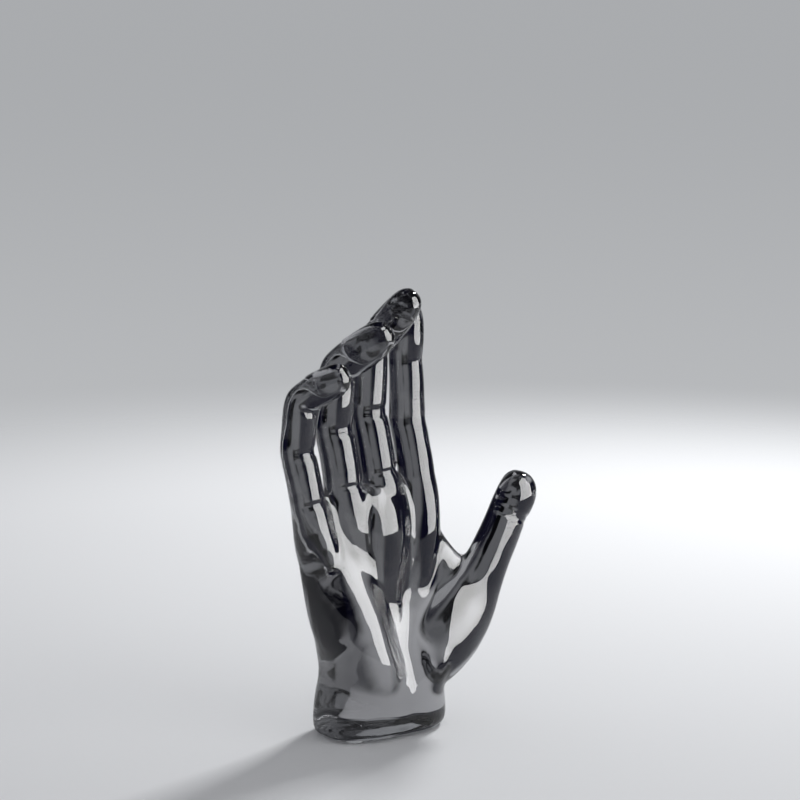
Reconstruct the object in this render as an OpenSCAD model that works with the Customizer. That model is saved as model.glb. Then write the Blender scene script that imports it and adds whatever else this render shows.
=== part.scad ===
// Decorative open hand, cast in one block of smoked glass.
// A right hand stands on its cut wrist and shows its palm: straight index,
// the other fingers bowed more and more towards the little finger.
// +X points to the thumb, -Y is where the palm looks, +Z is up.
// The origin lies under the middle of the wrist, on the table.

/* [Foot and wrist] */
// Width of the wrist at the foot, little-finger side to thumb side
wrist_width = 64; // [54:0.5:70]
// Depth of the wrist at the foot, palm side to back
wrist_depth = 42; // [36:0.5:48]
// Height of the rounded lower edge
foot_edge = 5; // [2:0.5:8]
// How far the rounded lower edge draws in
foot_inset = 2.2; // [1:0.1:4]
// Height at which the wrist runs into the heel of the hand
heel_height = 30; // [24:0.5:36]

/* [Palm] */
// Width of the palm across the four knuckles
palm_width = 78; // [70:0.5:86]
// Thickness of the palm at the knuckles
palm_thickness = 25; // [20:0.5:30]
// Height of the middle knuckle above the table
knuckle_height = 97; // [88:0.5:106]
// Height of the webs between the fingers above that knuckle
web_rise = 17; // [12:0.5:24]
// Rise of the soft heel below the little finger
heel_pad_rise = 10; // [7:0.5:13]
// Rise of the ball of the thumb
thumb_pad_rise = 11; // [8:0.5:14]
// Rise of the pad below the middle finger
finger_pad_rise = 7.5; // [5:0.5:10]
// Depth of the hollow between them
palm_hollow = 4; // [2:0.5:6]

/* [Fingers] */
// Length of the index finger from knuckle to tip
index_length = 104; // [95:0.5:118]
// Length of the middle finger from knuckle to tip
middle_length = 113.5; // [102:0.5:126]
// Length of the ring finger from knuckle to tip
ring_length = 106; // [97:0.5:120]
// Length of the little finger from knuckle to tip
little_length = 95; // [86:0.5:108]
// Width of the index finger at its middle joint
index_width = 17.5; // [15:0.25:20]
// Width of the middle finger at its middle joint
middle_width = 18.25; // [16:0.25:21]
// Width of the ring finger at its middle joint
ring_width = 19; // [16:0.25:21]
// Width of the little finger at its middle joint
little_width = 17; // [15:0.25:20]
// How far a nail stands out of the finger
nail_rise = 0.5; // [0.3:0.1:0.9]

/* [Thumb] */
// Length of the thumb's root bone, inside the palm
thumb_root_length = 41.5; // [36:0.5:46]
// Length of the thumb from its root joint to its middle joint
thumb_middle_length = 43.5; // [38:0.5:48]
// Length of the thumb's end, middle joint to tip
thumb_end_length = 19; // [16:0.5:24]
// Width of the thumb at its middle joint
thumb_width = 20; // [18:0.25:24]
// Thickness of the skin between thumb and index
thumb_web_thickness = 12; // [9:0.5:15]

/* [Foot pads] */
// Diameter of a clear foot pad
pad_diameter = 8; // [6:0.5:10]
// Thickness of a clear foot pad
pad_thickness = 1; // [0.8:0.1:2]
// Distance from a pad's rim to the edge of the flat under the wrist
pad_margin = 5.5; // [4.5:0.25:7]

/* [Hidden] */

// Sides and rings of the palm, sides of a finger, of the skin at the thumb and of a small blend
palm_sides = 56;
palm_rings = 22;
finger_sides = 20;
web_sides = 24;
blend_sides = 16;

// Power of the wrist's outline, 2 for an ellipse and more for squarer corners
wrist_power_share = 2.7;

// Wrist, foot to heel: height, half width, palm side and back
wrist_shares = [
    [0.22, 0.500, 0.500, 0.500],
    [0.45, 0.490, 0.490, 0.485],
    [0.70, 0.478, 0.475, 0.465]
];

// Palm, heel to webs: height, half width, palm side, back, middle along X, middle along Y,
// and the power of its outline, 2 for an ellipse and more for squarer corners
palm_shares = [
    [-0.04, 0.378, 0.79, 0.75, 0.000, 0.00, 2.6],
    [0.05, 0.382, 0.75, 0.69, -0.002, 0.00, 2.5],
    [0.14, 0.408, 0.64, 0.64, -0.010, 0.00, 2.4],
    [0.27, 0.442, 0.43, 0.59, -0.023, 0.04, 2.2],
    [0.42, 0.466, 0.28, 0.50, -0.033, 0.09, 2.1],
    [0.58, 0.484, 0.25, 0.42, -0.040, 0.13, 2.1],
    [0.72, 0.490, 0.25, 0.37, -0.047, 0.14, 2.2],
    [0.83, 0.480, 0.25, 0.33, -0.050, 0.15, 2.3],
    [0.91, 0.460, 0.21, 0.27, -0.052, 0.17, 2.4],
    [0.97, 0.425, 0.14, 0.18, -0.055, 0.19, 2.5],
    [1.00, 0.375, 0.07, 0.07, -0.057, 0.20, 2.5]
];

// One ray, palm root to tip: bone, place along it, half width, palm side and back
finger_shares = [
    [0, 0.00, 0.80, 1.00, 0.80],
    [0, 0.25, 0.92, 1.05, 0.98],
    [0, 0.50, 1.00, 1.10, 1.08],
    [0, 0.75, 1.05, 1.14, 1.14],
    [0, 0.92, 1.08, 1.15, 1.26],
    [1, 0.05, 1.09, 1.13, 1.22],
    [1, 0.20, 1.09, 1.08, 1.06],
    [1, 0.36, 1.07, 1.02, 0.96],
    [1, 0.43, 1.06, 0.95, 0.93],
    [1, 0.50, 1.05, 0.99, 0.91],
    [1, 0.68, 1.03, 0.98, 0.91],
    [1, 0.86, 1.01, 0.95, 0.96],
    [1, 0.95, 1.01, 0.91, 1.01],
    [2, 0.00, 1.02, 0.85, 1.03],
    [2, 0.09, 1.02, 0.90, 0.99],
    [2, 0.28, 0.98, 0.95, 0.92],
    [2, 0.52, 0.95, 0.95, 0.89],
    [2, 0.78, 0.92, 0.91, 0.93],
    [2, 0.92, 0.91, 0.86, 0.98],
    [3, 0.00, 0.91, 0.82, 1.01],
    [3, 0.09, 0.89, 0.88, 0.99],
    [3, 0.26, 0.87, 0.95, 0.94],
    [3, 0.48, 0.85, 0.97, 0.90],
    [3, 0.66, 0.80, 0.92, 0.84],
    [3, 0.80, 0.71, 0.81, 0.74],
    [3, 0.90, 0.57, 0.64, 0.59],
    [3, 0.96, 0.38, 0.43, 0.39],
    [3, 0.99, 0.20, 0.23, 0.21]
];

// The thumb, root to tip, in the same columns
thumb_shares = [
    [0, -0.30, 0.50, 0.45, 0.55],
    [0, -0.22, 0.92, 0.80, 0.80],
    [0, -0.08, 1.28, 1.22, 1.08],
    [0, 0.12, 1.50, 1.54, 1.18],
    [0, 0.40, 1.65, 1.60, 1.18],
    [0, 0.68, 1.63, 1.38, 1.10],
    [0, 0.88, 1.53, 1.12, 1.03],
    [1, 0.04, 1.38, 0.94, 0.98],
    [1, 0.16, 1.24, 0.92, 0.93],
    [1, 0.32, 1.13, 0.97, 0.89],
    [1, 0.55, 1.05, 0.92, 0.86],
    [1, 0.80, 1.02, 0.86, 0.88],
    [1, 0.93, 1.01, 0.82, 0.91],
    [2, 0.00, 1.01, 0.80, 0.93],
    [2, 0.12, 1.03, 0.86, 0.90],
    [2, 0.30, 1.05, 0.92, 0.85],
    [2, 0.48, 1.03, 0.92, 0.79],
    [2, 0.64, 0.96, 0.85, 0.71],
    [2, 0.78, 0.83, 0.72, 0.60],
    [2, 0.89, 0.64, 0.54, 0.45],
    [2, 0.96, 0.41, 0.34, 0.29],
    [2, 0.99, 0.21, 0.18, 0.15]
];

// Soft pads on the palm, as shares of palm width, knuckle height and palm width again:
// middle along X and Z, half width, half length, then the tilt in degrees away from +Z
heel_pad_shares = [-0.25, 0.56, 0.20, 0.33, -20];
thumb_pad_shares = [0.37, 0.43, 0.17, 0.24, 34];
finger_pad_shares = [-0.045, 0.96, 0.11, 0.22, -12];
hollow_shares = [0.03, 0.60, 0.12, 0.26, 8];

// Power that flattens the top of a soft pad and steepens its rim
pad_power_share = 1.4;

// The four fingers, index to little: sizes, then the curl's heading and splay and the lean
// of each bone from upright, all in degrees
finger_lengths = [index_length, middle_length, ring_length, little_length];
finger_widths = [index_width, middle_width, ring_width, little_width];
curl_heading_angles = [6.5, 27, 37, 31];
curl_splay_angles = [-1.5, 1, 0, -3];
curl_lean_angles = [[-12, 1, 4], [-11, 3, 33], [-9, 4, 52], [-10, 6, 58]];

// Knuckles as shares of palm width, palm thickness and knuckle height
knuckle_shares = [[0.335, 0.076, 0.971], [0.083, 0.168, 0.994], [-0.182, 0.120, 0.977], [-0.440, 0.040, 0.943]];

// First and second bone of each finger as shares of its length; the last bone is the rest
bone_shares = [[0.470, 0.262], [0.455, 0.235], [0.455, 0.245], [0.465, 0.235]];

// Roots of the rays beside the wrist, as shares of wrist width, wrist depth and heel height
root_shares = [[0.20, 0.10, 1.05], [0.085, -0.20, 1.00], [-0.05, 0.14, 1.05], [-0.20, 0.02, 1.05]];

// A nail's outline: two places along the last bone with the radius there as a share of the
// finger's width, and how far its blade reaches out of the back
nail_shares = [[0.50, 0.363], [0.78, 0.317]];
nail_lift_shares = [0.25, 0.90];

// Skin between thumb and index, from inside the palm to its free edge: place and thickness
web_shares = [[0, 1], [0.35, 1], [0.70, 0.86], [0.90, 0.68], [1, 0.52], [1.035, 0.42], [1.055, 0.25], [1.065, 0.08]];

// Where that skin starts and ends along the index's root bone, and on the thumb
web_index_shares = [0.45, 0.90];
web_thumb_shares = [0.55, 0.40];
web_sag_share = 0.27;

// Place of a finger's web along its first bone, on both neighbours, and its thickness
finger_web_shares = [0.24, 0.26, 0.30];

// Root of the thumb: shares of wrist width, wrist depth and heel height
thumb_root_shares = [0.266, -0.20, 0.955];
thumb_heading_angle = -5;
thumb_splay_angles = [44, 30, 24];
thumb_lean_angles = [-4, -2, -2];

function flat(lists) = [for (l = lists) each l];
function unit(v) = v / norm(v);
function part_way(a, b, t) = a + (b - a) * t;

// Direction of a bone that leans towards its heading and splays sideways
function bone_dir(heading, splay, lean) =
    let (front = [sin(heading), -cos(heading), 0], side = [cos(heading), sin(heading), 0])
    cos(splay) * (sin(lean) * front + cos(lean) * [0, 0, 1]) + sin(splay) * side;

// Joints of a ray, each one bone further than the last
function chain(start, dirs, lengths, i = 0) =
    i == len(lengths) ? [start] : concat([start], chain(start + dirs[i] * lengths[i], dirs, lengths, i + 1));

// How far a bend reaches into the bones on both sides of its joint
bend_share = 0.28;

// Place and direction of a ray on one of its bones: each joint is rounded by a parabola
function ray_place(joints, bone, along) =
    let (
        last = len(joints) - 2,
        near_end = along > 1 - bend_share && bone < last,
        near_start = along < bend_share && bone > 0,
        k = near_end ? bone + 1 : bone,
        t = near_end ? (along - 1 + bend_share) / (2 * bend_share) : 0.5 + along / (2 * bend_share)
    )
    near_end || near_start ?
        let (
            a = part_way(joints[k], joints[k - 1], bend_share),
            b = part_way(joints[k], joints[k + 1], bend_share)
        )
        [part_way(part_way(a, joints[k], t), part_way(joints[k], b, t), t),
            unit(part_way(unit(joints[k] - a), unit(b - joints[k]), t))] :
        [part_way(joints[bone], joints[bone + 1], along), unit(joints[bone + 1] - joints[bone])];

// One closed ring round a place, wider or flatter on the palm side than on the back
function ray_ring(place, along_dir, side, half_width, palm, back, sides) =
    let (front = unit(cross(side, along_dir)), across = unit(cross(along_dir, front)))
    [for (i = [0 : sides - 1])
        let (a = 360 * i / sides)
        place + across * half_width * cos(a) + front * (sin(a) > 0 ? palm : back) * sin(a)];

// All rings of a ray through the given joints, with an even extra outside
function ray_rings(joints, side, half, shares, extra = 0) =
    [for (s = shares)
        let (spot = ray_place(joints, s[0], s[1]))
        ray_ring(spot[0], spot[1], side,
            half * s[2] + extra, half * s[3] + extra, half * s[4] + extra, finger_sides)];

// Row of a table at a place between its rows, eased by a cubic through the rows around it
function eased_row(table, at) =
    let (
        last = len(table) - 1,
        below = [for (i = [0 : last]) if (table[i][0] <= at) i],
        i = min(max(len(below) - 1, 0), last - 1),
        a = table[i],
        b = table[i + 1],
        step = b[0] - a[0],
        t = (at - a[0]) / step,
        slope_a = i > 0 ? (b - table[i - 1]) / (b[0] - table[i - 1][0]) : (b - a) / step,
        slope_b = i < last - 1 ? (table[i + 2] - a) / (table[i + 2][0] - a[0]) : (b - a) / step
    )
    a * (1 + 2 * t) * pow(1 - t, 2) + slope_a * step * t * pow(1 - t, 2) +
    b * (3 - 2 * t) * t * t + slope_b * step * (t - 1) * t * t;

// Rise of one soft pad at a place on the palm: flat on top, steep at its rim
function pad_rise(x, z, rise, s) =
    let (
        dx = x - s[0] * palm_width,
        dz = z - s[1] * knuckle_height,
        across = (dx * cos(s[4]) - dz * sin(s[4])) / (s[2] * palm_width),
        along = (dx * sin(s[4]) + dz * cos(s[4])) / (s[3] * knuckle_height)
    )
    rise * exp(-pow(across * across + along * along, pad_power_share));

// The pads and the hollow, fading out down the wrist so that it stands plumb
function palm_relief(x, z) =
    let (fade = min(max((z - foot_edge) / (heel_height - foot_edge), 0), 1))
    fade * fade * (3 - 2 * fade) * (
        pad_rise(x, z, heel_pad_rise, heel_pad_shares) +
        pad_rise(x, z, thumb_pad_rise, thumb_pad_shares) +
        pad_rise(x, z, finger_pad_rise, finger_pad_shares) -
        pad_rise(x, z, palm_hollow, hollow_shares)
    );

// One level ring of the wrist or palm, with softly squared corners and the pads on its palm side
function level_ring(centre, half_width, palm, back, power) =
    [for (i = [0 : palm_sides - 1])
        let (
            a = 360 * i / palm_sides,
            c = sign(cos(a)) * pow(abs(cos(a)), 2 / power),
            s = sign(sin(a)) * pow(abs(sin(a)), 2 / power),
            x = centre[0] + half_width * c
        )
        [x, centre[1] - (s > 0 ? (palm + palm_relief(x, centre[2])) * s : back * s), centre[2]]];

// Closed solid through a list of rings that all have the same number of points
module loft(rings) {
    n = len(rings[0]);
    sides = [for (k = [0 : len(rings) - 2]) for (i = [0 : n - 1])
        let (j = (i + 1) % n, low = k * n, high = low + n)
        each [[low + i, low + j, high + j], [low + i, high + j, high + i]]];
    top = (len(rings) - 1) * n;
    caps = [for (i = [1 : n - 2]) each [[0, i + 1, i], [top, top + i, top + i + 1]]];
    polyhedron(points = flat(rings), faces = concat(sides, caps), convexity = 6);
}

// Joints of one finger's ray, from its root beside the wrist to its tip
function finger_joints(i) =
    let (
        root = root_shares[i],
        top = knuckle_shares[i],
        start = [root[0] * wrist_width, root[1] * wrist_depth, root[2] * heel_height],
        knuckle = [top[0] * palm_width, top[1] * palm_thickness, top[2] * knuckle_height],
        first = bone_shares[i][0] * finger_lengths[i],
        second = bone_shares[i][1] * finger_lengths[i],
        dirs = [for (lean = curl_lean_angles[i]) bone_dir(curl_heading_angles[i], curl_splay_angles[i], lean)]
    )
    concat([start], chain(knuckle, dirs, [first, second, finger_lengths[i] - first - second]));

function side_dir(heading) = [cos(heading), sin(heading), 0];

fingers = [0 : len(finger_lengths) - 1];
FINGER_JOINTS = [for (i = fingers) finger_joints(i)];

THUMB_JOINTS = chain(
    [thumb_root_shares[0] * wrist_width, thumb_root_shares[1] * wrist_depth, thumb_root_shares[2] * heel_height],
    [for (i = [0 : len(thumb_lean_angles) - 1])
        bone_dir(thumb_heading_angle, thumb_splay_angles[i], thumb_lean_angles[i])],
    [thumb_root_length, thumb_middle_length, thumb_end_length]
);

// Wrist and palm in one loft, from the rounded foot edge to the webs
module palm() {
    rise = knuckle_height + web_rise - heel_height;
    edge = [for (a = [0 : 30 : 90])
        let (inset = foot_inset * (1 - sin(a)), half_depth = wrist_depth / 2 - inset)
        level_ring([0, 0, pad_thickness + foot_edge * (1 - cos(a))],
            wrist_width / 2 - inset, half_depth, half_depth, wrist_power_share)];
    wrist = [for (s = wrist_shares)
        level_ring([0, 0, s[0] * heel_height + foot_edge * (1 - s[0])],
            s[1] * wrist_width, s[2] * wrist_depth, s[3] * wrist_depth, wrist_power_share)];
    first = palm_shares[0][0];
    body = [for (k = [0 : palm_rings])
        let (s = eased_row(palm_shares, first + (1 - first) * k / palm_rings))
        level_ring([s[4] * palm_width, s[5] * palm_thickness, heel_height + s[0] * rise],
            s[1] * palm_width, s[2] * palm_thickness, s[3] * palm_thickness, s[6])];
    loft(concat(edge, wrist, body));
}

module finger(i) {
    loft(ray_rings(FINGER_JOINTS[i], side_dir(curl_heading_angles[i]), finger_widths[i] / 2, finger_shares));
}

module thumb() {
    loft(ray_rings(THUMB_JOINTS, side_dir(thumb_heading_angle), thumb_width / 2, thumb_shares));
}

// The skin that joins two neighbouring fingers above their knuckles
module finger_web(i) {
    a = FINGER_JOINTS[i];
    b = FINGER_JOINTS[i + 1];
    thick = finger_widths[i] * finger_web_shares[2];
    hull() {
        translate(part_way(a[1], a[2], finger_web_shares[0])) sphere(thick, $fn = blend_sides);
        translate(part_way(b[1], b[2], finger_web_shares[1])) sphere(thick, $fn = blend_sides);
    }
}

// The skin between thumb and index: long flat rings that rise to a sagging free edge
module thumb_web() {
    index = FINGER_JOINTS[0];
    index_low = part_way(index[0], index[1], web_index_shares[0]);
    index_edge = part_way(index[0], index[1], web_index_shares[1]);
    thumb_low = part_way(THUMB_JOINTS[0], THUMB_JOINTS[1], web_thumb_shares[0]);
    thumb_edge = part_way(THUMB_JOINTS[1], THUMB_JOINTS[2], web_thumb_shares[1]);
    sag = web_sag_share * norm(thumb_edge - index_edge);
    through = unit(cross(thumb_edge - index_edge, index_low - index_edge)) * thumb_web_thickness / 2;
    loft([for (s = web_shares)
        let (from = part_way(index_low, index_edge, s[0]), to = part_way(thumb_low, thumb_edge, s[0]))
        [for (i = [0 : web_sides - 1])
            let (a = 360 * i / web_sides, t = (1 - cos(a)) / 2)
            part_way(from, to, t) - [0, 0, 4 * sag * min(s[0], 1) * t * (1 - t)]
                + through * s[1] * sin(a)]]);
}

// A nail: the skin of the last bone, lifted a little inside the outline of the nail
module nail(joints, heading, width, shares) {
    root = joints[len(joints) - 2];
    bone = joints[len(joints) - 1] - root;
    back = -unit(cross(side_dir(heading), unit(bone)));
    intersection() {
        loft(ray_rings(joints, side_dir(heading), width / 2, shares, nail_rise));
        hull() {
            for (s = nail_shares) {
                for (lift = nail_lift_shares) {
                    translate(root + bone * s[0] + back * (width * lift))
                        sphere(width * s[1], $fn = blend_sides);
                }
            }
        }
    }
}

// The casting: one solid, because the glass is poured in one mould
module hand() {
    color([0.42, 0.44, 0.47, 0.55])
        union() {
            palm();
            thumb();
            for (i = fingers) {
                finger(i);
                nail(FINGER_JOINTS[i], curl_heading_angles[i], finger_widths[i], finger_shares);
            }
            nail(THUMB_JOINTS, thumb_heading_angle, thumb_width, thumb_shares);
            for (i = [0 : len(finger_lengths) - 2]) {
                finger_web(i);
            }
            thumb_web();
        }
}

// A clear pad under one corner of the foot
module foot_pad(x_side, y_side) {
    inset = foot_inset + pad_margin + pad_diameter / 2;
    color([0.85, 0.87, 0.88, 0.6])
        translate([x_side * (wrist_width / 2 - inset), y_side * (wrist_depth / 2 - inset), 0])
            cylinder(d = pad_diameter, h = pad_thickness, $fn = 48);
}

module pad_left_front() { foot_pad(-1, -1); }
module pad_right_front() { foot_pad(1, -1); }
module pad_left_back() { foot_pad(-1, 1); }
module pad_right_back() { foot_pad(1, 1); }

hand();
pad_left_front();
pad_right_front();
pad_left_back();
pad_right_back();
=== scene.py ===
"""Decorative glass hand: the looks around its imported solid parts.

The casting is modelled like a sculpted hand: five rays and a palm are drawn out ring by ring,
fused, smoothed and detailed with creases and nails. The foot pads keep their solids.
All places are in metres in the part's own frame: +X thumb, -Y palm, +Z up.
"""
import math

import bpy
import numpy as np
from bpy.props import FloatProperty, FloatVectorProperty, IntProperty, PointerProperty
from mathutils import Matrix, Vector


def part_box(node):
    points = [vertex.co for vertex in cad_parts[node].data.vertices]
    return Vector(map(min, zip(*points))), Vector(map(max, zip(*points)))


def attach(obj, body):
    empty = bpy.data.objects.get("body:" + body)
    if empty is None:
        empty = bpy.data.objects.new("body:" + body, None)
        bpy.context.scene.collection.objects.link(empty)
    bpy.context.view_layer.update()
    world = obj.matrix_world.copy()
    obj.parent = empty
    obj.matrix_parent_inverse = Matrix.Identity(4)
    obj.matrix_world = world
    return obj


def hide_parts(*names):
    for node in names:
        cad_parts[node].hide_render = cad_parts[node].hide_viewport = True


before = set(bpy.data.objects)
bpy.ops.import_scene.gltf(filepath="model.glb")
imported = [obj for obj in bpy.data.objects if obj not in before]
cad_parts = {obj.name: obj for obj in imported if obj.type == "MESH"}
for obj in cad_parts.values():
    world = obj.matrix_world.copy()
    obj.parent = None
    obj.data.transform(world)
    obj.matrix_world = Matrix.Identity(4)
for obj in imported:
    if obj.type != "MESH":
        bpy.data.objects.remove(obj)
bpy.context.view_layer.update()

bl_info = {
    "name": "Decorative Glass Hand",
    "version": (1, 0, 0),
    "blender": (4, 5, 0),
    "location": "3D View > Sidebar > Glass Hand",
    "description": "Models a smoked glass hand on clear foot pads and lights it like a studio shot",
    "category": "Add Mesh",
}

HAND_LOW, HAND_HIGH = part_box("hand")
PADS = sorted(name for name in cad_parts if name.startswith("pad_"))
MM = 0.001

# Wrist, foot to heel: height, half width, palm side and back
WRIST_SHARES = [(0.22, 0.500, 0.500, 0.500), (0.45, 0.490, 0.490, 0.485), (0.70, 0.478, 0.475, 0.465)]

# The heel of the hand, squarer than the palm above it: height, half width, palm side, back,
# middle along X, middle along Y
HEEL_SHARES = [
    (-0.04, 0.378, 0.79, 0.75, 0.000, 0.00),
    (0.05, 0.382, 0.75, 0.69, -0.002, 0.00),
    (0.14, 0.402, 0.63, 0.63, -0.010, 0.00),
    (0.25, 0.410, 0.50, 0.55, -0.020, 0.03),
    (0.34, 0.360, 0.36, 0.44, -0.028, 0.06),
    (0.38, 0.200, 0.16, 0.24, -0.030, 0.07),
]

# The palm above it, up to the webs, in the same columns
PALM_SHARES = [
    (-0.08, 0.220, 0.40, 0.40, 0.000, 0.00),
    (-0.02, 0.340, 0.66, 0.64, -0.002, 0.00),
    (0.06, 0.382, 0.73, 0.68, -0.003, 0.00),
    (0.14, 0.408, 0.64, 0.64, -0.010, 0.00),
    (0.27, 0.442, 0.52, 0.59, -0.023, 0.04),
    (0.42, 0.466, 0.43, 0.50, -0.033, 0.09),
    (0.58, 0.484, 0.37, 0.42, -0.040, 0.13),
    (0.72, 0.490, 0.33, 0.37, -0.047, 0.14),
    (0.83, 0.480, 0.30, 0.33, -0.050, 0.15),
    (0.91, 0.460, 0.25, 0.27, -0.052, 0.17),
    (0.97, 0.425, 0.14, 0.18, -0.055, 0.19),
    (1.00, 0.375, 0.07, 0.07, -0.057, 0.20),
]

# One ray, palm root to tip: bone, place along it, half width, palm side and back
FINGER_SHARES = [
    (0, 0.00, 0.55, 0.62, 0.60),
    (0, 0.25, 0.76, 0.86, 0.86),
    (0, 0.50, 0.94, 1.03, 1.04),
    (0, 0.75, 1.04, 1.12, 1.13),
    (0, 0.92, 1.08, 1.15, 1.26),
    (1, 0.05, 1.09, 1.13, 1.22),
    (1, 0.20, 1.09, 1.08, 1.06),
    (1, 0.36, 1.07, 1.02, 0.96),
    (1, 0.43, 1.06, 0.95, 0.93),
    (1, 0.50, 1.05, 0.99, 0.91),
    (1, 0.68, 1.03, 0.98, 0.91),
    (1, 0.86, 1.01, 0.95, 0.96),
    (1, 0.95, 1.01, 0.91, 1.01),
    (2, 0.00, 1.02, 0.85, 1.03),
    (2, 0.09, 1.02, 0.90, 0.99),
    (2, 0.28, 0.98, 0.95, 0.92),
    (2, 0.52, 0.95, 0.95, 0.89),
    (2, 0.78, 0.92, 0.91, 0.93),
    (2, 0.92, 0.91, 0.86, 0.98),
    (3, 0.00, 0.91, 0.82, 1.01),
    (3, 0.09, 0.89, 0.88, 0.99),
    (3, 0.26, 0.87, 0.95, 0.94),
    (3, 0.48, 0.85, 0.97, 0.90),
    (3, 0.66, 0.82, 0.93, 0.85),
    (3, 0.80, 0.75, 0.84, 0.77),
    (3, 0.90, 0.62, 0.69, 0.64),
    (3, 0.96, 0.43, 0.48, 0.44),
    (3, 0.99, 0.24, 0.27, 0.25),
]

# The thumb, root to tip, in the same columns
THUMB_SHARES = [
    (0, -0.30, 0.50, 0.45, 0.55),
    (0, -0.22, 0.92, 0.80, 0.80),
    (0, -0.08, 1.28, 1.22, 1.08),
    (0, 0.12, 1.53, 1.54, 1.18),
    (0, 0.40, 1.73, 1.60, 1.18),
    (0, 0.68, 1.74, 1.38, 1.10),
    (0, 0.88, 1.66, 1.12, 1.03),
    (1, 0.04, 1.50, 0.94, 0.98),
    (1, 0.16, 1.32, 0.92, 0.93),
    (1, 0.32, 1.13, 0.97, 0.89),
    (1, 0.55, 1.05, 0.92, 0.86),
    (1, 0.80, 1.02, 0.86, 0.88),
    (1, 0.93, 1.01, 0.82, 0.91),
    (2, 0.00, 1.01, 0.80, 0.93),
    (2, 0.12, 1.03, 0.86, 0.90),
    (2, 0.30, 1.05, 0.92, 0.85),
    (2, 0.48, 1.03, 0.92, 0.79),
    (2, 0.64, 0.96, 0.85, 0.71),
    (2, 0.78, 0.83, 0.72, 0.60),
    (2, 0.89, 0.64, 0.54, 0.45),
    (2, 0.96, 0.41, 0.34, 0.29),
    (2, 0.99, 0.21, 0.18, 0.15),
]

# Soft pads on the palm: middle along X and Z, half width, half length, tilt from +Z in degrees,
# and how much they widen upwards
HEEL_PAD = (-0.25, 0.56, 0.20, 0.33, -20, 0)
THUMB_PAD = (0.37, 0.43, 0.17, 0.24, 34, 0)
FINGER_PAD = (0.015, 0.92, 0.14, 0.40, -6, 0.45)
HOLLOW = (0.055, 0.56, 0.15, 0.29, 0, 0)

# How much narrower and wider a pad may get, how steep its rim is, and which way the skin under it looks
PAD_WIDENING = (0.3, 1.6)
PAD_STEEPNESS = 1.4
PAD_FACING = (-0.1, 0.9)

# The curl of the four fingers, index to little, in degrees
CURL_HEADINGS = (6.5, 27, 37, 31)
CURL_SPLAYS = (-1.5, 1, 0, -3)
CURL_LEANS = ((-12, 1, 4), (-11, 3, 40), (-9, 4, 53), (-10, 6, 58))

# Knuckles: shares of palm width, palm thickness and knuckle height
KNUCKLE_SHARES = (
    (0.335, 0.076, 0.971), (0.083, 0.168, 0.994), (-0.182, 0.120, 0.977), (-0.440, 0.040, 0.943))

# First and second bone of each finger as shares of its length
BONE_SHARES = ((0.470, 0.262), (0.455, 0.235), (0.455, 0.245), (0.465, 0.235))

# Roots of the rays, thumb last: shares of wrist width, wrist depth and heel height
ROOT_SHARES = (
    (0.20, 0.10, 1.05), (0.085, 0.20, 1.00), (-0.05, 0.16, 1.05), (-0.20, 0.10, 1.05), (0.266, -0.20, 0.955))
THUMB_HEADING = -5
THUMB_SPLAYS = (44, 30, 24)
THUMB_LEANS = (-4, -2, -2)

# Depth of the creases on each finger, index to little, and where they lie: bone and place along it
CREASE_DEPTH_SHARES = (0.08, 1, 1, 1)
FINGER_CREASES = ((1, 0.43), (1, 0.965), (2, 0.035), (2, 0.97), (3, 0.04))
THUMB_CREASES = ((1, 0.96), (2, 0.03))

# A crease lies on skin between these shares of the ray's half width from its axis, on the palm side
CREASE_FROM_SHARE = 0.6
CREASE_TO_SHARE = 1.3
CREASE_FACING = (0.05, 0.75)

# A nail on the last bone: its middle and half length along it, its half width, how square it is
# each way, and how soft its edge is
NAIL_MIDDLE_SHARE = 0.64
NAIL_HALF_LENGTH_SHARE = 0.345
NAIL_HALF_WIDTH_SHARE = 0.72
NAIL_SQUARE_ACROSS = 3.0
NAIL_SQUARE_ALONG = 2.6
NAIL_EDGE = 0.22
NAIL_FACING = (0.15, 0.45)
NAIL_REACH_SHARE = 0.6

# Rounds of smoothing, and the heights in metres between which the palm gets more and the ripple fades
SKIN_ROUNDS = 16
PALM_ROUNDS = 45
CREASE_ROUNDS = 3
PALM_FROM = (0.024, 0.045)
PALM_TO = (0.100, 0.122)
RIPPLE_FROM = (0.006, 0.016)
RIPPLE_TO = (0.185, 0.195)

# How far a bend reaches into the bones on both sides of its joint
BEND_SHARE = 0.28

# Skin between two fingers: its ends on their first bones, its half thickness as a share of a
# finger's width, and its rings from end to end with their size
FINGER_WEB_START_SHARE = 0.24
FINGER_WEB_END_SHARE = 0.26
FINGER_WEB_THICK_SHARE = 0.30
FINGER_WEB_RINGS = ((0.0, 0.6), (0.1, 0.9), (0.3, 1.0), (0.7, 1.0), (0.9, 0.9), (1.0, 0.6))

# Skin between thumb and index: place from the palm to its free edge, and thickness
WEB_SHARES = [
    (0, 1), (0.35, 1.1), (0.70, 1.1), (0.90, 1.0), (1, 0.84), (1.05, 0.66), (1.085, 0.42), (1.10, 0.14)]
WEB_INDEX_SHARES = (0.45, 1.06)
WEB_THUMB_SHARES = (0.55, 0.34)
WEB_SAG_SHARE = 0.24

# Corner of the wrist's square outline, whose sides are 2, and how far up the foot is ground
OUTLINE_CORNER = 0.80
GRIND_HEIGHT = 0.35 * MM

# The studio by direction. A fade is two sines between which it runs: of the height over the
# horizon, of the turn from the middle to the camera's right, or of the turn from side to back
BACKDROP_FADE = (-0.24, -0.06)
BEHIND_FADE = (0.0, 0.3)
CARD_LEFT = (-0.14, 0.00)
CARD_RIGHT = (0.32, 0.50)
CARD_TOP = (0.86, 0.96)
CARD_DARK_TO = (-0.05, 0.06)
CEILING_FADE = (0.28, 0.50)
WALL_LEFT = (-0.75, -0.35)
WALL_RIGHT = (0.45, 0.85)
WALL_TOP = (0.2, 0.7)

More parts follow.
